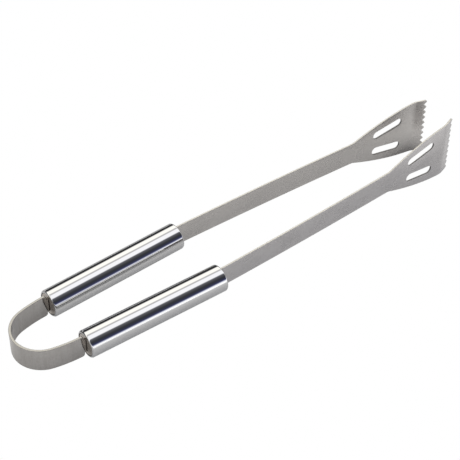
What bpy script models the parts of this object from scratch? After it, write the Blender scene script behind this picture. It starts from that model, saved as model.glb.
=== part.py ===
"""Spring loaded kitchen tongs: a bent spring strip, two tube handles and two pressed arms.

Lengths are in metres and angles in radians. X runs from the spring (-X) to the heads (+X),
Y from the near arm to the far arm and Z across the strips. Each strip is cut flat as a blank
and then bent along a route of straight runs and arcs.
"""
import math

import bmesh
import bpy

MM = 0.001

# Spring: a tight arc round the back, a slack arc into each handle, a shouldered tang
SPRING_THICKNESS = 2.0 * MM
SPRING_WIDTH = 20.1 * MM
BOW_RADIUS = 23.2 * MM
BOW_TURN = math.radians(76.3)
SHANK_RADIUS = 107.7 * MM
SPRING_RUN_OUT = 3.6 * MM
HINGE_X = 17.0 * MM
HINGE_Y = 17.0 * MM

# Handles: plain tubes closed by a recessed disc at each end
HANDLE_HEADING = math.radians(1.6)
HANDLE_LENGTH = 120.5 * MM
TUBE_RADIUS = 11.0 * MM
TUBE_WALL = 1.0 * MM
TUBE_RIM_RADIUS = 0.9 * MM
TUBE_STEPS = 96
CAP_THICKNESS = 1.6 * MM
REAR_CAP_RECESS = 0.3 * MM
FRONT_CAP_RECESS = 2.6 * MM

# Tangs pass through a slot in each disc; the spring's shoulders stay outside its tube,
# the arm's narrower ones sit inside the front recess
TANG_WIDTH = 13.0 * MM
TANG_DEPTH = 9.0 * MM
SPRING_SHOULDER_RADIUS = 2.0 * MM
SPRING_SHOULDER_SETBACK = 1.4 * MM
ARM_SHOULDER_RADIUS = 1.2 * MM
ARM_SHOULDER_INSET = 2.0 * MM
FIT_GAP = 0.25 * MM

# Arms: measured along the strip from the front of the handle
ARM_THICKNESS = 1.5 * MM
ARM_KINK = math.radians(2.9)
KINK_LENGTH = 6.0 * MM
ARM_CURVE_RADIUS = 6100.0 * MM
ARM_WIDTH_REAR = 18.9 * MM
ARM_WIDTH_NECK = 20.7 * MM
NECK_END = 169.5 * MM
FLARE_START = 179.5 * MM
FLARE_START_HALF_WIDTH = 11.4 * MM
FLARE_SLOPE = 0.38
FLARE_END = 248.3 * MM
FLARE_REAR_HANDLE = 18.2 * MM
FLARE_FRONT_HANDLE = 22.9 * MM
HEAD_HALF_WIDTH = 26.5 * MM
LIP_START = 238.3 * MM
LIP_RADIUS = 18.6 * MM
LIP_TURN = math.radians(17.0)
LIP_FLAT = 8.7 * MM

# Toothed edge
TOOTH_COUNT = 10
TOOTH_PITCH = 5.6 * MM
TOOTH_DEPTH = 2.7 * MM

# Drain slots
SLOT_CENTRE_S = 213.0 * MM
SLOT_CENTRE_Z = 10.5 * MM
SLOT_LENGTH = 30.0 * MM
SLOT_WIDTH = 7.3 * MM
SLOT_TILT = math.radians(9.8)

WELD_DISTANCE = 1e-7
STATION_SPACING = 12.0 * MM
SIDES = {"far": 1, "near": -1}


class Route:
    """A flat path of straight runs and arcs, each a (length, left turn) pair."""

    def __init__(self, start, heading, runs):
        self.runs = []
        s = 0.0
        point = start
        for length, turn in runs:
            self.runs.append((s, length, turn, point, heading))
            point, heading = self.advance(point, heading, length, turn, length)
            s += length
        self.length = s

    @staticmethod
    def advance(point, heading, length, turn, distance):
        """Move some distance along one run, returning the new point and heading."""
        x, y = point
        if turn == 0.0:
            return (x + distance * math.cos(heading), y + distance * math.sin(heading)), heading
        radius = length / turn
        new_heading = heading + distance / radius
        x += radius * (math.sin(new_heading) - math.sin(heading))
        y -= radius * (math.cos(new_heading) - math.cos(heading))
        return (x, y), new_heading

    def at(self, s):
        """Point and heading at path length s; the last run carries on past its end."""
        for run in self.runs:
            if s <= run[0] + run[1] or run is self.runs[-1]:
                break
        start_s, length, turn, point, heading = run
        return self.advance(point, heading, length, turn, s - start_s)

    def place(self, s, offset):
        """The point at path length s, offset to the left of the path."""
        (x, y), heading = self.at(s)
        return x - offset * math.sin(heading), y + offset * math.cos(heading)

    def stations(self, arc_step):
        """Path lengths where the strip is divided so that its bends come out round."""
        result = []
        for start_s, length, turn, _, _ in self.runs:
            count = 1
            if turn != 0.0:
                count = max(math.ceil(abs(turn) / arc_step), math.ceil(length / STATION_SPACING))
            result += [start_s + length * i / count for i in range(count)]
        return result


def spring_route():
    """Half of the spring, from its back to the end of the far tang."""
    shank_turn = math.pi / 2 - BOW_TURN - HANDLE_HEADING
    runs = [
        (BOW_RADIUS * BOW_TURN, -BOW_TURN),
        (SHANK_RADIUS * shank_turn, -shank_turn),
        (SPRING_RUN_OUT, 0.0),
        (TANG_DEPTH, 0.0),
    ]
    return Route((0.0, 0.0), math.pi / 2, runs)


def arm_route():
    """One arm in its handle's frame: X out of the handle's front, Y outward."""
    sweep_length = LIP_START - KINK_LENGTH
    runs = [
        (TANG_DEPTH, 0.0),
        (KINK_LENGTH, -ARM_KINK),
        (sweep_length, -sweep_length / ARM_CURVE_RADIUS),
        (LIP_RADIUS * LIP_TURN, -LIP_TURN),
        (LIP_FLAT, 0.0),
    ]
    return Route((-TANG_DEPTH, 0.0), 0.0, runs)


def arc_points(centre, radius, start, end, count):
    """Points along an arc, both ends included."""
    return [
        (
            centre[0] + radius * math.cos(start + (end - start) * i / count),
            centre[1] + radius * math.sin(start + (end - start) * i / count),
        )
        for i in range(count + 1)
    ]


def bezier_points(start, start_handle, end_handle, end, count):
    """Points along a cubic curve, both ends included."""
    points = []
    for i in range(count + 1):
        t = i / count
        weights = ((1 - t) ** 3, 3 * t * (1 - t) ** 2, 3 * t * t * (1 - t), t ** 3)
        corners = (start, start_handle, end_handle, end)
        points.append(tuple(sum(w * c[axis] for w, c in zip(weights, corners)) for axis in (0, 1)))
    return points


def shoulder_points(tang_end, body_start, body_half_width, radius):
    """Upper edge from a tang's end over a rounded shoulder to the strip's full width."""
    tang_half = TANG_WIDTH / 2
    centre = (body_start + radius, body_half_width - radius)
    corner = arc_points(centre, radius, math.pi, math.pi / 2, 6)
    return [(tang_end, tang_half), (body_start, tang_half)] + corner


def spring_outline():
    """The spring's flat blank, from one tang's end to the other's."""
    route = spring_route()
    shoulder = route.length - TANG_DEPTH - SPRING_SHOULDER_SETBACK
    near_half = shoulder_points(-route.length, -shoulder, SPRING_WIDTH / 2, SPRING_SHOULDER_RADIUS)
    far_half = [(-s, z) for s, z in reversed(near_half)]
    upper = near_half + far_half
    return upper + [(s, -z) for s, z in reversed(upper)]


def tooth_points(tip_s):
    """The toothed edge from the +Z corner to the -Z corner."""
    half_span = TOOTH_PITCH * (TOOTH_COUNT - 1) / 2
    edge_drop = TOOTH_DEPTH * (HEAD_HALF_WIDTH - half_span) / (TOOTH_PITCH / 2)
    points = [(tip_s - edge_drop, HEAD_HALF_WIDTH)]
    for i in range(TOOTH_COUNT):
        z = half_span - i * TOOTH_PITCH
        points.append((tip_s, z))
        if i < TOOTH_COUNT - 1:
            points.append((tip_s - TOOTH_DEPTH, z - TOOTH_PITCH / 2))
    points.append((tip_s - edge_drop, -HEAD_HALF_WIDTH))
    return points


def arm_outline():
    """The arm's flat blank: tang, tapering strip, flared head and toothed edge."""
    shoulder = TANG_DEPTH - ARM_SHOULDER_INSET
    upper = shoulder_points(0.0, shoulder, ARM_WIDTH_REAR / 2, ARM_SHOULDER_RADIUS)
    neck = (TANG_DEPTH + NECK_END, ARM_WIDTH_NECK / 2)
    flare = (TANG_DEPTH + FLARE_START, FLARE_START_HALF_WIDTH)
    head = (TANG_DEPTH + FLARE_END, HEAD_HALF_WIDTH)
    fillet_corner = (flare[0] - (flare[1] - neck[1]) / FLARE_SLOPE, neck[1])
    upper += bezier_points(neck, fillet_corner, fillet_corner, flare, 5)
    flare_rear = (flare[0] + FLARE_REAR_HANDLE, flare[1] + FLARE_SLOPE * FLARE_REAR_HANDLE)
    upper += bezier_points(flare, flare_rear, (head[0] - FLARE_FRONT_HANDLE, head[1]), head, 16)[1:]
    lower = [(s, -z) for s, z in reversed(upper)]
    return upper + tooth_points(arm_route().length) + lower


def slot_outline(side):
    """A round-ended drain slot on one side of the head's centre line."""
    half_run = (SLOT_LENGTH - SLOT_WIDTH) / 2
    radius = SLOT_WIDTH / 2
    front = arc_points((half_run, 0.0), radius, -math.pi / 2, math.pi / 2, 10)
    rear = arc_points((-half_run, 0.0), radius, math.pi / 2, 3 * math.pi / 2, 10)
    tilt = side * SLOT_TILT
    centre = (TANG_DEPTH + SLOT_CENTRE_S, side * SLOT_CENTRE_Z)
    return [
        (
            centre[0] + u * math.cos(tilt) - v * math.sin(tilt),
            centre[1] + u * math.sin(tilt) + v * math.cos(tilt),
        )
        for u, v in front + rear
    ]


def flat_curve(name, outlines, thickness):
    """A filled 2D curve of closed outlines, extruded either side of its plane."""
    curve = bpy.data.curves.new(name, "CURVE")
    curve.dimensions = "2D"
    curve.fill_mode = "BOTH"
    curve.extrude = thickness / 2
    for outline in outlines:
        spline = curve.splines.new("POLY")
        spline.points.add(len(outline) - 1)
        for point, (x, y) in zip(spline.points, outline):
            point.co = (x, y, 0.0, 1.0)
        spline.use_cyclic_u = True
    return bpy.data.objects.new(name, curve)


def bend_strip(name, outlines, thickness, stations, bend):
    """Cut a flat blank, divide it at the stations and move every corner with bend(s, z, n)."""
    flat = flat_curve(name + "_blank", outlines, thickness)
    mesh = bpy.data.meshes.new_from_object(flat)
    curve = flat.data
    bpy.data.objects.remove(flat)
    bpy.data.curves.remove(curve)
    mesh.name = name
    bm = bmesh.new()
    bm.from_mesh(mesh)
    bmesh.ops.remove_doubles(bm, verts=bm.verts, dist=WELD_DISTANCE)
    for s in stations:
        geom = bm.verts[:] + bm.edges[:] + bm.faces[:]
        plane = {"plane_co": (s, 0, 0), "plane_no": (1, 0, 0)}
        bmesh.ops.bisect_plane(bm, geom=geom, dist=WELD_DISTANCE, **plane)
    for vert in bm.verts:
        vert.co = bend(*vert.co)
    bmesh.ops.triangulate(bm, faces=bm.faces)
    bmesh.ops.recalc_face_normals(bm, faces=bm.faces)
    bm.to_mesh(mesh)
    bm.free()
    mesh.shade_smooth()
    mesh.set_sharp_from_angle(angle=math.radians(30))
    return bpy.data.objects.new(name, mesh)


def make_material(name, colour, roughness):
    """A bare metal surface."""
    material = bpy.data.materials.new(name)
    material.use_nodes = True
    shader = material.node_tree.nodes["Principled BSDF"]
    shader.inputs["Base Color"].default_value = (*colour, 1.0)
    shader.inputs["Metallic"].default_value = 1.0
    shader.inputs["Roughness"].default_value = roughness
    return material


def add_part(collection, obj, parent, material, location=(0, 0, 0), rotation=(0, 0, 0)):
    """Link a part to the tongs' collection, place it under its parent and give it its material."""
    collection.objects.link(obj)
    obj.parent = parent
    obj.location = location
    obj.rotation_euler = rotation
    obj.data.materials.append(material)
    return obj


def add_empty(collection, name, parent, location, rotation=(0, 0, 0)):
    """An empty that carries other parts."""
    empty = bpy.data.objects.new(name, None)
    empty.empty_display_size = 0.01
    collection.objects.link(empty)
    empty.parent = parent
    empty.location = location
    empty.rotation_euler = rotation
    return empty


def build_spring(collection, root):
    """The U-shaped spring strip with a tang at each end."""
    route = spring_route()

    def bend(s, z, n):
        x, y = route.place(abs(s), n)
        return x, math.copysign(y, s), z

    half = route.stations(math.radians(3.0))
    stations = [-s for s in half[1:]] + half
    spring = bend_strip("spring_strip", [spring_outline()], SPRING_THICKNESS, stations, bend)
    add_part(collection, spring, root, make_material("spring_steel", (0.52, 0.51, 0.49), 0.36))


def build_arm(collection, side_name, handle):
    """One arm strip with its slotted, toothed head."""
    side = SIDES[side_name]
    route = arm_route()

    def bend(s, z, n):
        x, y = route.place(s, n)
        return x, side * y, z

    outlines = [arm_outline(), slot_outline(1), slot_outline(-1)]
    stations = route.stations(math.radians(4.0))
    arm = bend_strip(side_name + "_arm", outlines, ARM_THICKNESS, stations, bend)
    add_part(collection, arm, handle, make_material(side_name + "_arm_steel", (0.50, 0.49, 0.47), 0.38))


def tube_profile():
    """Wall section of a tube: down the outside from the top, then up the inside."""
    inner = TUBE_RADIUS - TUBE_WALL
    top = HANDLE_LENGTH / 2
    rim = TUBE_RIM_RADIUS
    upper_rim = arc_points((TUBE_RADIUS - rim, top - rim), rim, math.pi / 2, 0.0, 6)
    lower_rim = [(x, -z) for x, z in reversed(upper_rim)]
    return upper_rim + lower_rim + [(inner, -top), (inner, top)]


def build_tube(collection, side_name, handle):
    """One handle tube, open at both ends."""
    profile = tube_profile()
    bm = bmesh.new()
    verts = [bm.verts.new((x, 0.0, z)) for x, z in profile]
    for start, end in zip(verts, verts[1:] + verts[:1]):
        bm.edges.new((start, end))
    mesh = bpy.data.meshes.new(side_name + "_handle_tube")
    bm.to_mesh(mesh)
    bm.free()
    tube = bpy.data.objects.new(side_name + "_handle_tube", mesh)
    screw = tube.modifiers.new("Turn", "SCREW")
    screw.steps = TUBE_STEPS
    screw.render_steps = TUBE_STEPS
    screw.use_merge_vertices = True
    screw.merge_threshold = 1e-5
    screw.use_smooth_shade = True
    material = make_material(side_name + "_polished_steel", (0.82, 0.82, 0.84), 0.08)
    add_part(collection, tube, handle, material, (-HANDLE_LENGTH / 2, 0, 0), (0, math.pi / 2, 0))


def cap_outlines(tang_thickness):
    """A disc with a slot for the tang; X is across the strip's width."""
    disc = arc_points((0, 0), TUBE_RADIUS - TUBE_WALL - FIT_GAP, 0.0, 2 * math.pi, TUBE_STEPS)[:-1]
    slot_x = TANG_WIDTH / 2 + FIT_GAP
    slot_y = tang_thickness / 2 + FIT_GAP
    slot = [(slot_x, slot_y), (-slot_x, slot_y), (-slot_x, -slot_y), (slot_x, -slot_y)]
    return [disc, slot]


def build_cap(collection, side_name, end_name, handle, x, tang_thickness):
    """One slotted disc recessed in the end of a handle tube."""
    cap = flat_curve(f"{side_name}_{end_name}_cap", cap_outlines(tang_thickness), CAP_THICKNESS)
    material = make_material(f"{side_name}_{end_name}_cap_steel", (0.33, 0.32, 0.30), 0.3)
    add_part(collection, cap, handle, material, (x, 0, 0), (0, math.pi / 2, 0))


def build_side(collection, side_name, root):
    """One moving side: hinge empty, handle frame, tube, caps and arm."""
    side = SIDES[side_name]
    route = spring_route()
    (rear_x, rear_y), heading = route.at(route.length - TANG_DEPTH)
    front_x = rear_x + HANDLE_LENGTH * math.cos(heading)
    front_y = rear_y + HANDLE_LENGTH * math.sin(heading)
    hinge = add_empty(collection, side_name + "_hinge", root, (HINGE_X, side * HINGE_Y, 0))
    handle_place = (front_x - HINGE_X, side * (front_y - HINGE_Y), 0)
    handle = add_empty(collection, side_name + "_handle", hinge, handle_place, (0, 0, side * heading))
    build_tube(collection, side_name, handle)
    rear_cap_x = REAR_CAP_RECESS + CAP_THICKNESS / 2 - HANDLE_LENGTH
    front_cap_x = -FRONT_CAP_RECESS - CAP_THICKNESS / 2
    build_cap(collection, side_name, "rear", handle, rear_cap_x, SPRING_THICKNESS)
    build_cap(collection, side_name, "front", handle, front_cap_x, ARM_THICKNESS)
    build_arm(collection, side_name, handle)


def tip_x():
    """How far the toothed edge reaches in front of the spring's back."""
    spring = spring_route()
    (rear_x, _), heading = spring.at(spring.length - TANG_DEPTH)
    arm = arm_route()
    x, y = arm.place(arm.length, ARM_THICKNESS / 2)
    return rear_x + (HANDLE_LENGTH + x) * math.cos(heading) - y * math.sin(heading)


def clear_scene():
    """Remove whatever objects the scene starts with."""
    for obj in list(bpy.data.objects):
        bpy.data.objects.remove(obj, do_unlink=True)


def main():
    clear_scene()
    collection = bpy.data.collections.new("kitchen_tongs")
    bpy.context.scene.collection.children.link(collection)
    centre_x = (tip_x() - SPRING_THICKNESS / 2) / 2
    root = add_empty(collection, "tongs_frame", None, (-centre_x, 0, HEAD_HALF_WIDTH))
    build_spring(collection, root)
    for side_name in SIDES:
        build_side(collection, side_name, root)
    bpy.context.view_layer.update()


main()
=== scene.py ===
"""Looks for the spring loaded kitchen tongs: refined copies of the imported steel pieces,
brushed and polished metal, a pale floor, soft studio light and a camera.

X runs along the tongs from the spring to the heads, Y from the near side to the far side, and
Z up. Lengths are in metres.
"""
import math

import bmesh
import bpy
from mathutils import Matrix, Vector


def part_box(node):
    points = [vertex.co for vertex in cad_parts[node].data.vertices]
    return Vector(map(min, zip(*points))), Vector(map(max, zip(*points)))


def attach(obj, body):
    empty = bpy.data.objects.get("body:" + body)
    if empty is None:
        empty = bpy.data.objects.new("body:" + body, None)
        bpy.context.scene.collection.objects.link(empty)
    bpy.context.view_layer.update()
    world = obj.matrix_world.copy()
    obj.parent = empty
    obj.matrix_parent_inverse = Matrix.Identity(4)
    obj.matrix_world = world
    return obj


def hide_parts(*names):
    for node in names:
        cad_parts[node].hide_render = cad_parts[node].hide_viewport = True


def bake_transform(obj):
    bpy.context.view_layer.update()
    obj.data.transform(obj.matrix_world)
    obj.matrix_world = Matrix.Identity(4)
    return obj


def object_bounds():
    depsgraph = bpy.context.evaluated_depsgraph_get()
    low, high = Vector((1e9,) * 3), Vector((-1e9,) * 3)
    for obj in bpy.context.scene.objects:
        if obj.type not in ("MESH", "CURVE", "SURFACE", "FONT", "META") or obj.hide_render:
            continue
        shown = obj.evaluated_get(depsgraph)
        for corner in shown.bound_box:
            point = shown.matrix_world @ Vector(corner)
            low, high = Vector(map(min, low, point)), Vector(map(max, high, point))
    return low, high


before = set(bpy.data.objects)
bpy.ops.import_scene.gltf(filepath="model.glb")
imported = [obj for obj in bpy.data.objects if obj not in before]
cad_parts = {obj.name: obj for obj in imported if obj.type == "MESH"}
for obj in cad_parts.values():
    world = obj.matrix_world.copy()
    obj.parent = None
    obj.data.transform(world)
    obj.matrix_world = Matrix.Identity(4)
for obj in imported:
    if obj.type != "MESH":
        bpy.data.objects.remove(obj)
CAD_LOW, CAD_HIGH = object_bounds()

MM = 0.001
SIDES = {"far": 1, "near": -1}
ENDS = ("rear", "front")

# Meshes: vertices closer than WELD_DISTANCE are one, faces within FLAT_ANGLE are one flat face, and
# the large faces set the normals. A weight of 50 would favour none.
WELD_DISTANCE = 0.001 * MM
FLAT_ANGLE = math.radians(0.03)
LARGE_FACE_WEIGHT = 100

# Rounded edges: those of the strips, and those of the discs at their slots and round the outside
RIM_ANGLE = math.radians(50)
EDGE_RADIUS = 0.35 * MM
EDGE_SEGMENTS = 3
SLOT_EDGE_RADIUS = 0.3 * MM
CAP_EDGE_RADIUS = 0.7 * MM
CAP_EDGE_SEGMENTS = 2
ROUND_PROFILE = 0.5

# Tubes: the radius that each end rolls inwards with
REAR_ROLL = 1.6 * MM
FRONT_ROLL = 1.4 * MM
ROLL_STEPS = 8
TUBE_STEPS = 128

# Discs: how far they reach into what holds them, and the share of their radius at which the
# outer edge starts
CAP_OVERLAP = 0.1 * MM
CAP_OUTSIDE = 0.9

# Spring: the radius of the arc at its back, the length of the band of painted shade on the strip
# where it meets each disc, and how deep and how wide the apex of the bow is taken to be
BOW_RADIUS = 23.2 * MM
JOINT_SHADE_LENGTH = 0.4 * MM
APEX_DEPTH = 0.3 * MM
APEX_HALF_WIDTH = 0.2 * MM

# Face layers for a material's edge tones. The dark layer is painted shade: on the walls of the
# drain slots, on the edges and slot walls of the discs, and on the spring's ends at the discs.
# A face belongs to an edge if it looks less squarely along Y than this on an arm, less along X on
# a disc, or more along Z on the spring.
SHEARED_LAYER = "sheared_edge"
PAINTED_SHADE_LAYER = "painted_shade"
ARM_FACE_NORMAL = 0.85
CAP_FACE_NORMAL = 0.95
SPRING_EDGE_NORMAL = 0.15


# Shapes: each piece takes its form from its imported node

def middle(node):
    """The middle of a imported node's box."""
    low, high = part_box(node)
    return (low + high) / 2


def node_bmesh(node):
    """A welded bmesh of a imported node, its flat faces joined into large ones."""
    bm = bmesh.new()
    bm.from_mesh(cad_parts[node].data)
    bmesh.ops.remove_doubles(bm, verts=bm.verts, dist=WELD_DISTANCE)
    bmesh.ops.dissolve_limit(bm, angle_limit=FLAT_ANGLE, verts=bm.verts, edges=bm.edges)
    return bm


def round_rims(bm, radius, segments=EDGE_SEGMENTS, is_rounded=lambda edge: True):
    """Round the edges where two faces meet at a sharp angle and is_rounded(edge) is true."""
    rims = [
        edge for edge in bm.edges
        if edge.is_manifold and edge.calc_face_angle(0.0) > RIM_ANGLE and is_rounded(edge)
    ]
    bmesh.ops.bevel(
        bm, geom=rims, offset=radius, segments=segments, profile=ROUND_PROFILE, affect="EDGES",
        clamp_overlap=False,
    )


def cut(bm, point, normal, clear_inner=False):
    """Divide a bmesh at a plane, and drop what lies behind it if clear_inner is true.

    Returns the edges that lie on the plane.
    """
    result = bmesh.ops.bisect_plane(
        bm, geom=bm.verts[:] + bm.edges[:] + bm.faces[:], dist=WELD_DISTANCE,
        plane_co=point, plane_no=normal, clear_inner=clear_inner,
    )
    return [item for item in result["geom_cut"] if isinstance(item, bmesh.types.BMEdge)]


def add_piece(name, bm, material):
    """A smooth shaded piece made from a bmesh, with normals that keep flat faces flat."""
    bmesh.ops.recalc_face_normals(bm, faces=bm.faces)
    for edge in bm.edges:
        edge.smooth = edge.calc_face_angle(0.0) < RIM_ANGLE
    mesh = bpy.data.meshes.new(name)
    bm.to_mesh(mesh)
    bm.free()
    mesh.shade_smooth()
    mesh.materials.append(material)
    piece = bpy.data.objects.new(name, mesh)
    bpy.context.scene.collection.objects.link(piece)
    normals = piece.modifiers.new("Flat faces", "WEIGHTED_NORMAL")
    normals.mode = "FACE_AREA"
    normals.weight = LARGE_FACE_WEIGHT
    normals.keep_sharp = True
    return piece


def map_strip(bm, along):
    """UVs with U along the strip, from along(position), and V across it."""
    layer = bm.loops.layers.uv.new("strip")
    for face in bm.faces:
        for loop in face.loops:
            position = loop.vert.co
            loop[layer].uv = (along(position), position.z)


def mark(bm, layer_name, indices):
    """A face value of 1 on the faces with the given indices and 0 on the others."""
    layer = bm.faces.layers.float.new(layer_name)
    bm.faces.ensure_lookup_table()
    for index in indices:
        bm.faces[index][layer] = 1.0


def rim_faces(bm, is_rim):
    """The indices of the rim faces, those where is_rim(normal) is true, in their connected groups.

    The longest rim, which runs round the outside of the piece, is the first group.
    """
    bm.normal_update()
    bm.faces.index_update()
    left = {face for face in bm.faces if is_rim(face.normal)}
    groups = []
    while left:
        front = [left.pop()]
        group = []
        while front:
            face = front.pop()
            group.append(face.index)
            joined = {other for edge in face.edges for other in edge.link_faces if other in left}
            left -= joined
            front.extend(joined)
        groups.append(group)
    return sorted(groups, key=len, reverse=True)


def stand_for(piece, node, body):
    """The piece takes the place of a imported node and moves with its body."""
    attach(piece, body)
    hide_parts(node)


# Arms

def make_arm(side_name, material):
    """An arm and its head, with a pale sheared edge and painted shade on the walls of the drain
    slots.
    """
    node = side_name + "_arm"
    bm = node_bmesh(node)
    round_rims(bm, EDGE_RADIUS)
    map_strip(bm, lambda position: position.x)
    rim, *slots = rim_faces(bm, lambda normal: abs(normal.y) < ARM_FACE_NORMAL)
    mark(bm, SHEARED_LAYER, rim)
    # Painted shade: the walls of the drain slots are marked to be painted nearly black.
    mark(bm, PAINTED_SHADE_LAYER, sum(slots, []))
    piece = add_piece(side_name + "_arm_strip", bm, material)
    stand_for(piece, node, side_name + "_side")


# Handles

class Tube:
    """The place and size of a handle tube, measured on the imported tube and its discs."""

    def __init__(self, side_name):
        rear = middle(side_name + "_rear_cap")
        self.axis = (middle(side_name + "_front_cap") - rear).normalized()
        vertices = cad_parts[side_name + "_handle_tube"].data.vertices
        offsets = [vertex.co - rear for vertex in vertices]
        along = [offset.dot(self.axis) for offset in offsets]
        out = [(offset - place * self.axis).length for offset, place in zip(offsets, along)]
        self.start = rear + min(along) * self.axis
        self.length = max(along) - min(along)
        self.radius = max(out)
        self.bore = min(out)


def arc(centre, radius, first, last):
    """Points round part of a circle. The angles are in degrees."""
    shares = [step / ROLL_STEPS for step in range(ROLL_STEPS + 1)]
    angles = [math.radians(first + (last - first) * share) for share in shares]
    x, y = centre
    return [(x + radius * math.cos(angle), y + radius * math.sin(angle)) for angle in angles]


def make_tube(side_name, material):
    """A tube whose ends are rolled inwards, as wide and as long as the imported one."""
    tube = Tube(side_name)
    wall = tube.radius - tube.bore
    rear = (REAR_ROLL, tube.radius - REAR_ROLL)
    front = (tube.length - FRONT_ROLL, tube.radius - FRONT_ROLL)
    profile = arc(rear, REAR_ROLL, 180, 90) + arc(front, FRONT_ROLL, 90, 0)
    profile += arc(front, FRONT_ROLL - wall, 0, 90) + arc(rear, REAR_ROLL - wall, 90, 180)
    bm = bmesh.new()
    points = [tube.start + along * tube.axis + Vector((0, 0, out)) for along, out in profile]
    section = [bm.verts.new(point) for point in points]
    edges = [bm.edges.new(pair) for pair in zip(section, section[1:] + section[:1])]
    bmesh.ops.spin(
        bm, geom=section + edges, cent=tube.start, axis=tube.axis, angle=2 * math.pi,
        steps=TUBE_STEPS, use_merge=True,
    )
    bmesh.ops.remove_doubles(bm, verts=bm.verts, dist=WELD_DISTANCE)
    map_strip(bm, lambda position: position.x)
    piece = add_piece(side_name + "_polished_tube", bm, material)
    stand_for(piece, side_name + "_handle_tube", side_name + "_side")


def make_cap(side_name, end_name, material):
    """A disc, resized to meet the inside of its tube or the rolled rim that it lies in."""
    node = f"{side_name}_{end_name}_cap"
    tube = Tube(side_name)
    opening = tube.radius - REAR_ROLL if end_name == "rear" else tube.bore
    bm = node_bmesh(node)
    centre = middle(node)
    low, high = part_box(node)
    radius = (high.z - low.z) / 2

    def is_outside(vert):
        return (vert.co - centre).yz.length > CAP_OUTSIDE * radius

    round_rims(bm, SLOT_EDGE_RADIUS, CAP_EDGE_SEGMENTS, lambda edge: not is_outside(edge.verts[0]))
    round_rims(bm, CAP_EDGE_RADIUS, CAP_EDGE_SEGMENTS, lambda edge: is_outside(edge.verts[0]))
    # Painted shade: the disc's outer edge and its slot walls are marked to be painted nearly black.
    mark(bm, PAINTED_SHADE_LAYER, sum(rim_faces(bm, lambda normal: abs(normal.x) < CAP_FACE_NORMAL), []))
    growth = (opening + CAP_OVERLAP) / radius
    bmesh.ops.transform(
        bm, matrix=Matrix.Diagonal((1.0, growth, growth, 1.0)), space=Matrix.Translation(-centre),
        verts=[vert for vert in bm.verts if is_outside(vert)],
    )
    piece = add_piece(f"{side_name}_{end_name}_disc", bm, material)
    stand_for(piece, node, side_name + "_side")


# Spring

def facet_middle_y():
    """Where the facet on the +Y side of the spring's apex has its middle."""
    low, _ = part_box("spring_strip")
    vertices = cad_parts["spring_strip"].data.vertices
    beside_apex = [vertex.co.y for vertex in vertices if vertex.co.x < low.x + APEX_DEPTH]
    return min(y for y in beside_apex if y > APEX_HALF_WIDTH) / 2


def make_spring_half(side_name, seam_y, material):
    """Half of the spring strip, which bends from the apex of the bow to its disc."""
    low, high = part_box("spring_strip")
    cap_low, cap_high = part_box(side_name + "_rear_cap")
    joint_shade_x = cap_low.x - JOINT_SHADE_LENGTH
    bm = node_bmesh("spring_strip")
    round_rims(bm, EDGE_RADIUS)
    seam = cut(bm, (0, seam_y, 0), (0, SIDES[side_name], 0), clear_inner=True)
    bmesh.ops.contextual_create(bm, geom=seam)
    cut(bm, (joint_shade_x, 0, 0), (1, 0, 0))
    centre_x = low.x + BOW_RADIUS
    map_strip(bm, lambda position: BOW_RADIUS * math.atan2(position.y, centre_x - position.x))
    mark(bm, SHEARED_LAYER, sum(rim_faces(bm, lambda normal: abs(normal.z) > SPRING_EDGE_NORMAL), []))
    # Painted shade: a dark band on the strip's last stretch before each disc.
    mark(bm, PAINTED_SHADE_LAYER, [face.index for face in bm.faces if face.calc_center_median().x > joint_shade_x])
    piece = add_piece(side_name + "_spring_half", bm, material)
    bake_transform(piece)
    return piece


def make_spring(material):
    """The spring strip in two halves that meet beside its apex."""
    seam_y = facet_middle_y()
    halves = [make_spring_half(side_name, seam_y, material) for side_name in SIDES]
    for half in halves:
        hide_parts("spring_strip")


# Materials

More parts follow.
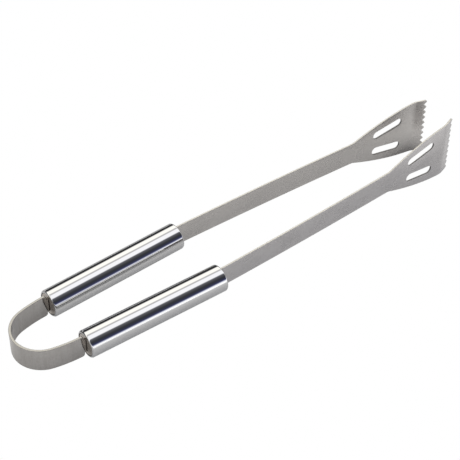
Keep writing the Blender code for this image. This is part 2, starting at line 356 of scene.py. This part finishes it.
class Nodes:
    """Short spellings for a material's node tree."""

    def __init__(self, tree):
        self.tree = tree

    def add(self, kind, **values):
        node = self.tree.nodes.new(kind)
        for key, value in values.items():
            setattr(node, key, value)
        return node

    def link(self, source, target):
        self.tree.links.new(source, target)

    def feed(self, value, socket):
        """Set a socket to a number or a colour, or link an output to it."""
        if isinstance(value, tuple):
            socket.default_value = (*value, 1.0)
        elif isinstance(value, (int, float)):
            socket.default_value = value
        else:
            self.link(value, socket)

    def math(self, operation, first, second=0.0, clamp=False):
        node = self.add("ShaderNodeMath", operation=operation, use_clamp=clamp)
        self.feed(first, node.inputs[0])
        self.feed(second, node.inputs[1])
        return node.outputs[0]

    def noise(self, vector, detail, roughness, scale=1.0):
        node = self.add("ShaderNodeTexNoise")
        node.inputs["Scale"].default_value = scale
        node.inputs["Detail"].default_value = detail
        node.inputs["Roughness"].default_value = roughness
        self.link(vector, node.inputs["Vector"])
        return node.outputs["Fac"]

    def stretched(self, vector, scale):
        node = self.add("ShaderNodeMapping")
        node.inputs["Scale"].default_value = scale
        self.link(vector, node.inputs["Vector"])
        return node.outputs["Vector"]

    def map_range(self, value, low, high, out_low=0.0, out_high=1.0):
        node = self.add("ShaderNodeMapRange")
        node.inputs["From Min"].default_value = low
        node.inputs["From Max"].default_value = high
        node.inputs["To Min"].default_value = out_low
        node.inputs["To Max"].default_value = out_high
        self.link(value, node.inputs["Value"])
        return node.outputs["Result"]

    def ramp(self, value, stops):
        """A colour by value, from pairs of a value and its colour in rising order."""
        first, last = stops[0][0], stops[-1][0]
        node = self.add("ShaderNodeValToRGB")
        self.link(self.map_range(value, first, last), node.inputs["Fac"])
        elements = node.color_ramp.elements
        for place, colour in stops[1:-1]:
            elements.new((place - first) / (last - first)).color = (*colour, 1.0)
        elements[0].color = (*stops[0][1], 1.0)
        elements[-1].color = (*stops[-1][1], 1.0)
        return node.outputs["Color"]

    def weighted(self, *shares):
        """The sum of values times their weights."""
        total = 0.0
        for value, weight in shares:
            total = self.math("ADD", self.math("MULTIPLY", value, weight), total)
        return total

    def blend(self, factor, first, second):
        """A colour from first at 0 to second at 1. Each is a colour or an output."""
        node = self.add("ShaderNodeMix", data_type="RGBA")
        self.link(factor, node.inputs["Factor"])
        self.feed(first, node.inputs["A"])
        self.feed(second, node.inputs["B"])
        return node.outputs["Result"]


# How fine the marks on the steel are: noise periods to the metre, by U and V for the brushing
# and the scratches and by X, Y and Z for the stains and the grain
ALONG_STRIP = (25.0, 2500.0, 1.0)
ACROSS_STRIP = (260.0, 25.0, 1.0)
ALONG_TUBE = (25.0, 900.0, 1.0)
SCRATCHES = (160.0, 2600.0, 1.0)
STAINS = (40.0, 60.0, 60.0)
GRAIN = 800.0

# How much each mark adds to the tone, and the noise values that the tones and the change in
# roughness run between
BRUSHING_SHARE = 0.4
STAINS_SHARE = 0.3
GRAIN_SHARE = 0.3
TONE_RANGE = (0.35, 0.65)
STAINS_RANGE = (0.3, 0.7)

# Scratches: the noise values between which one sets in, and its depth beside the brushing's
SCRATCH_RANGE = (0.70, 0.78)
SCRATCH_DEPTH = 0.3


def steel(name, light, dark, roughness, spread, lines, bump, anisotropy=0.0, edges=()):
    """Stainless steel with fine lines, a small grain, soft stains and a few scratches.

    light and dark are its two tones, spread the change in roughness, lines the lines to the metre
    along and across the strip, and bump their depth in metres. edges are pairs of a face layer and
    the tone of the faces it marks.
    """
    material = bpy.data.materials.new(name)
    material.use_nodes = True
    nodes = Nodes(material.node_tree)
    shader = material.node_tree.nodes["Principled BSDF"]
    shader.inputs["Metallic"].default_value = 1.0
    shader.inputs["Anisotropic"].default_value = anisotropy
    uv = nodes.add("ShaderNodeUVMap", uv_map="strip").outputs["UV"]
    position = nodes.add("ShaderNodeTexCoord").outputs["Object"]
    brushing = nodes.noise(nodes.stretched(uv, lines), detail=3.0, roughness=0.65)
    stains = nodes.noise(nodes.stretched(position, STAINS), detail=4.0, roughness=0.55)
    grain = nodes.noise(position, detail=2.0, roughness=0.6, scale=GRAIN)
    scratches = nodes.noise(nodes.stretched(uv, SCRATCHES), detail=1.0, roughness=0.4)
    marks = nodes.map_range(scratches, *SCRATCH_RANGE)
    tone = nodes.weighted((brushing, BRUSHING_SHARE), (stains, STAINS_SHARE), (grain, GRAIN_SHARE))
    colour = nodes.blend(nodes.map_range(tone, *TONE_RANGE), dark, light)
    for layer, edge_tone in edges:
        is_edge = nodes.add("ShaderNodeAttribute", attribute_name=layer).outputs["Fac"]
        colour = nodes.blend(is_edge, colour, edge_tone)
    nodes.link(colour, shader.inputs["Base Color"])
    rough = nodes.map_range(stains, *STAINS_RANGE, roughness - spread, roughness + spread)
    rough = nodes.math("ADD", rough, nodes.math("MULTIPLY", marks, spread), clamp=True)
    nodes.link(rough, shader.inputs["Roughness"])
    relief = nodes.add("ShaderNodeBump")
    relief.inputs["Strength"].default_value = 1.0
    relief.inputs["Distance"].default_value = bump
    height = nodes.math("SUBTRACT", brushing, nodes.math("MULTIPLY", marks, SCRATCH_DEPTH))
    nodes.link(height, relief.inputs["Height"])
    nodes.link(relief.outputs["Normal"], shader.inputs["Normal"])
    if anisotropy:
        tangent = nodes.add("ShaderNodeTangent", direction_type="UV_MAP", uv_map="strip")
        nodes.link(tangent.outputs["Tangent"], shader.inputs["Tangent"])
    return material


# The light and the dark tone of each arm, two copies of one steel: the near one is a little
# cooler, a painted tint of what it reflects
ARM_TONES_WITH_PAINTED_TINT = {
    "far": ((0.61, 0.59, 0.565), (0.49, 0.47, 0.45)),
    "near": ((0.61, 0.595, 0.59), (0.48, 0.465, 0.46)),
}


def arm_steel(side_name):
    """Satin steel brushed along the arm, with warm sheared edges and painted shade on the slot walls.
    """
    # Each arm's tones carry a painted tint of what it reflects.
    light, dark = ARM_TONES_WITH_PAINTED_TINT[side_name]
    # The nearly black tone of the slot walls is painted shade.
    return steel(
        side_name + "_satin_steel", light, dark, roughness=0.28, spread=0.04, lines=ALONG_STRIP,
        bump=0.002 * MM, anisotropy=0.4,
        edges=((SHEARED_LAYER, (0.50, 0.48, 0.44)), (PAINTED_SHADE_LAYER, (0.15, 0.145, 0.14))),
    )


def spring_steel():
    """Smooth satin steel brushed across the strip, with darker edges and painted shade where it meets
    the discs.
    """
    # The darkest tone is painted shade where the strip meets the discs.
    return steel(
        "spring_steel", (0.53, 0.512, 0.487), (0.415, 0.396, 0.375), roughness=0.1, spread=0.03,
        lines=ACROSS_STRIP, bump=0.001 * MM, anisotropy=0.3,
        edges=((SHEARED_LAYER, (0.34, 0.328, 0.305)), (PAINTED_SHADE_LAYER, (0.20, 0.185, 0.17))),
    )


def mirror_steel():
    """Polished steel for the tubes."""
    return steel(
        "mirror_steel", (0.61, 0.61, 0.61), (0.59, 0.59, 0.59), roughness=0.035, spread=0.01,
        lines=ALONG_TUBE, bump=0.0001 * MM,
    )


def dull_steel():
    """Warm dull steel for the discs, with painted shade, nearly black, on their edges."""
    # The nearly black edge tone is painted shade in the groove round the disc and in its slot.
    return steel(
        "dull_steel", (0.53, 0.485, 0.44), (0.42, 0.38, 0.34), roughness=0.28, spread=0.06,
        lines=ALONG_STRIP, bump=0.003 * MM, edges=((PAINTED_SHADE_LAYER, (0.09, 0.082, 0.075)),),
    )


# Stage

FLOOR_SIZE = 30.0
FLOOR_GAP = 0.05 * MM
FLOOR_COLOUR = (0.45, 0.45, 0.45)
FLOOR_ROUGHNESS = 0.9

# The floor's glow under the tongs and far before them, and the Y where it starts to rise from
# one to the other and where it gets there
GLOW_BELOW = 0.53
GLOW_BEFORE = 2.3
GLOW_START = -0.06
GLOW_FULL = -0.45

# The Y where the glow starts to fade behind the tongs, and where it is gone
SHADE_START = 0.05
SHADE_FULL = 0.15

# The X where the glow at the heads sets in and where it is full, and how many times the floor's
# glow it is at each Y. A head reflects the floor before it, further off the higher up on the head.
# The dips under the heads' feet are painted contact shadows.
HEADS_START = 0.15
HEADS_FULL = 0.19
HEADS_GLOW = ((-0.08, 2.1), (-0.055, 1.7), (-0.037, 0.8), (-0.013, 1.8), (0.022, 0.0))


def floor_painted_light():
    """Pale paint that glows softly, so that the satin faces which reflect it stay light. The glow is
    painted light, with painted shade behind the tongs and painted contact shadows under the heads.
    """
    material = bpy.data.materials.new("floor_painted_light")
    material.use_nodes = True
    nodes = Nodes(material.node_tree)
    shader = material.node_tree.nodes["Principled BSDF"]
    split = nodes.add("ShaderNodeSeparateXYZ")
    nodes.link(nodes.add("ShaderNodeNewGeometry").outputs["Position"], split.inputs[0])
    x, y, _ = split.outputs
    before = nodes.map_range(y, GLOW_START, GLOW_FULL, GLOW_BELOW, GLOW_BEFORE)
    behind = nodes.map_range(y, SHADE_START, SHADE_FULL, 1.0, 0.0)
    glow = nodes.math("MULTIPLY", before, behind)
    times = nodes.ramp(y, [(place, (factor, factor, factor)) for place, factor in HEADS_GLOW])
    at_heads = nodes.map_range(x, HEADS_START, HEADS_FULL)
    change = nodes.math("MULTIPLY", at_heads, nodes.math("SUBTRACT", times, 1.0))
    heads = nodes.math("ADD", change, 1.0)
    # Painted light: the floor's glow, dimmed behind the tongs and under the heads as painted shade.
    nodes.link(nodes.math("MULTIPLY", glow, heads), shader.inputs["Emission Strength"])
    shader.inputs["Emission Color"].default_value = (*FLOOR_COLOUR, 1.0)
    shader.inputs["Base Color"].default_value = (*FLOOR_COLOUR, 1.0)
    shader.inputs["Roughness"].default_value = FLOOR_ROUGHNESS
    return material


def make_floor():
    """A floor that touches the spring's lower edge and the lower edges of the heads.

    Only reflections show it: the picture itself has a plain ground.
    """
    spring_low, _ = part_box("spring_strip")
    run = CAD_HIGH.x - CAD_LOW.x
    mesh = bpy.data.meshes.new("floor")
    bm = bmesh.new()
    bmesh.ops.create_grid(bm, x_segments=1, y_segments=1, size=FLOOR_SIZE / 2)
    bm.to_mesh(mesh)
    bm.free()
    mesh.materials.append(floor_painted_light())
    floor = bpy.data.objects.new("floor", mesh)
    bpy.context.scene.collection.objects.link(floor)
    floor.location = (CAD_HIGH.x, 0, CAD_LOW.z - FLOOR_GAP)
    floor.rotation_euler = (0, math.atan2(spring_low.z - CAD_LOW.z, run), 0)
    floor.visible_camera = False


# Light round the tongs by angle in the plane across them: 0 is level on the near side, 90 is
# overhead and 180 is level on the far side. Long soft boxes run parallel to the handles.
LIGHT_BANDS = (
    (0, (1.65, 1.65, 1.65)),
    (8, (1.65, 1.65, 1.7)),
    (14, (0.56, 0.60, 0.80)),
    (20, (0.07, 0.075, 0.19)),
    (27, (0.055, 0.06, 0.11)),
    (38, (0.05, 0.053, 0.07)),
    (46, (0.07, 0.073, 0.08)),
    (60, (0.15, 0.15, 0.17)),
    (66, (0.25, 0.25, 0.28)),
    (73, (1.55, 1.55, 1.6)),
    (99, (1.55, 1.55, 1.6)),
    (103, (0.8, 0.79, 0.8)),
    (111, (0.8, 0.79, 0.78)),
    (117, (1.7, 1.67, 1.58)),
    (145, (1.7, 1.67, 1.58)),
    (152, (0.12, 0.12, 0.13)),
    (163, (0.03, 0.03, 0.035)),
    (180, (0.06, 0.06, 0.06)),
)

# The plain backdrop, and how far a direction points to an end or to the back where the backdrop
# sets in and where it is full
BACKDROP = (1.0, 1.0, 1.0)
BACKDROP_START = 0.955
BACKDROP_FULL = 0.985


def make_light():
    """A world of long soft boxes, with a plain backdrop at each end, behind and below."""
    world = bpy.data.worlds.new("studio")
    world.use_nodes = True
    bpy.context.scene.world = world
    nodes = Nodes(world.node_tree)
    background = world.node_tree.nodes["Background"]
    split = nodes.add("ShaderNodeSeparateXYZ")
    nodes.link(nodes.add("ShaderNodeTexCoord").outputs["Generated"], split.inputs[0])
    x, y, z = split.outputs
    angle = nodes.math("ARCTAN2", z, nodes.math("MULTIPLY", y, -1.0))
    bands = nodes.ramp(angle, [(math.radians(degrees), colour) for degrees, colour in LIGHT_BANDS])
    sideways = nodes.math("MAXIMUM", nodes.math("ABSOLUTE", x), y)
    plain = nodes.map_range(sideways, BACKDROP_START, BACKDROP_FULL)
    plain = nodes.math("MAXIMUM", plain, nodes.math("LESS_THAN", z, 0.0))
    nodes.link(nodes.blend(plain, bands, BACKDROP), background.inputs["Color"])
    bpy.context.scene.view_settings.view_transform = "Standard"


# The camera stands above the near side, towards the spring's end. It aims at a point on the
# spring's level, AIM_FROM_BACK from its back, moved by AIM_SHIFT to the right and up in the picture.
CAMERA_AZIMUTH = math.radians(-37.306)
CAMERA_ELEVATION = math.radians(43.025)
CAMERA_ROLL = math.radians(0.334)
CAMERA_DISTANCE = 1.1333
CAMERA_LENS = 113.13
CAMERA_CLIP = (0.05, 100.0)
AIM_FROM_BACK = 0.191
AIM_SHIFT = (0.00417, 0.00981)


def make_camera():
    """The camera, placed by its angles and its distance from its aim."""
    azimuth, elevation = CAMERA_AZIMUTH, CAMERA_ELEVATION
    back = Vector((
        math.sin(azimuth) * math.cos(elevation),
        -math.cos(azimuth) * math.cos(elevation),
        math.sin(elevation),
    ))
    right = Vector((math.cos(azimuth), math.sin(azimuth), 0.0))
    up = back.cross(right)
    rolled_right = math.cos(CAMERA_ROLL) * right + math.sin(CAMERA_ROLL) * up
    rolled_up = math.cos(CAMERA_ROLL) * up - math.sin(CAMERA_ROLL) * right
    aim = Vector((CAD_LOW.x + AIM_FROM_BACK, 0.0, middle("spring_strip").z))
    aim += AIM_SHIFT[0] * rolled_right + AIM_SHIFT[1] * rolled_up
    data = bpy.data.cameras.new("camera")
    data.lens = CAMERA_LENS
    data.clip_start, data.clip_end = CAMERA_CLIP
    camera = bpy.data.objects.new("camera", data)
    bpy.context.scene.collection.objects.link(camera)
    turn = Matrix((rolled_right, rolled_up, back)).transposed().to_4x4()
    camera.matrix_world = Matrix.Translation(aim + CAMERA_DISTANCE * back) @ turn
    bpy.context.scene.camera = camera


def build():
    """Make the pieces, then the stage round them."""
    arm_steels = {side_name: arm_steel(side_name) for side_name in SIDES}
    sprung = spring_steel()
    polished = mirror_steel()
    dull = dull_steel()
    make_spring(sprung)
    for side_name in SIDES:
        make_arm(side_name, arm_steels[side_name])
        make_tube(side_name, polished)
        for end_name in ENDS:
            make_cap(side_name, end_name, dull)
    make_floor()
    make_light()
    make_camera()


build()
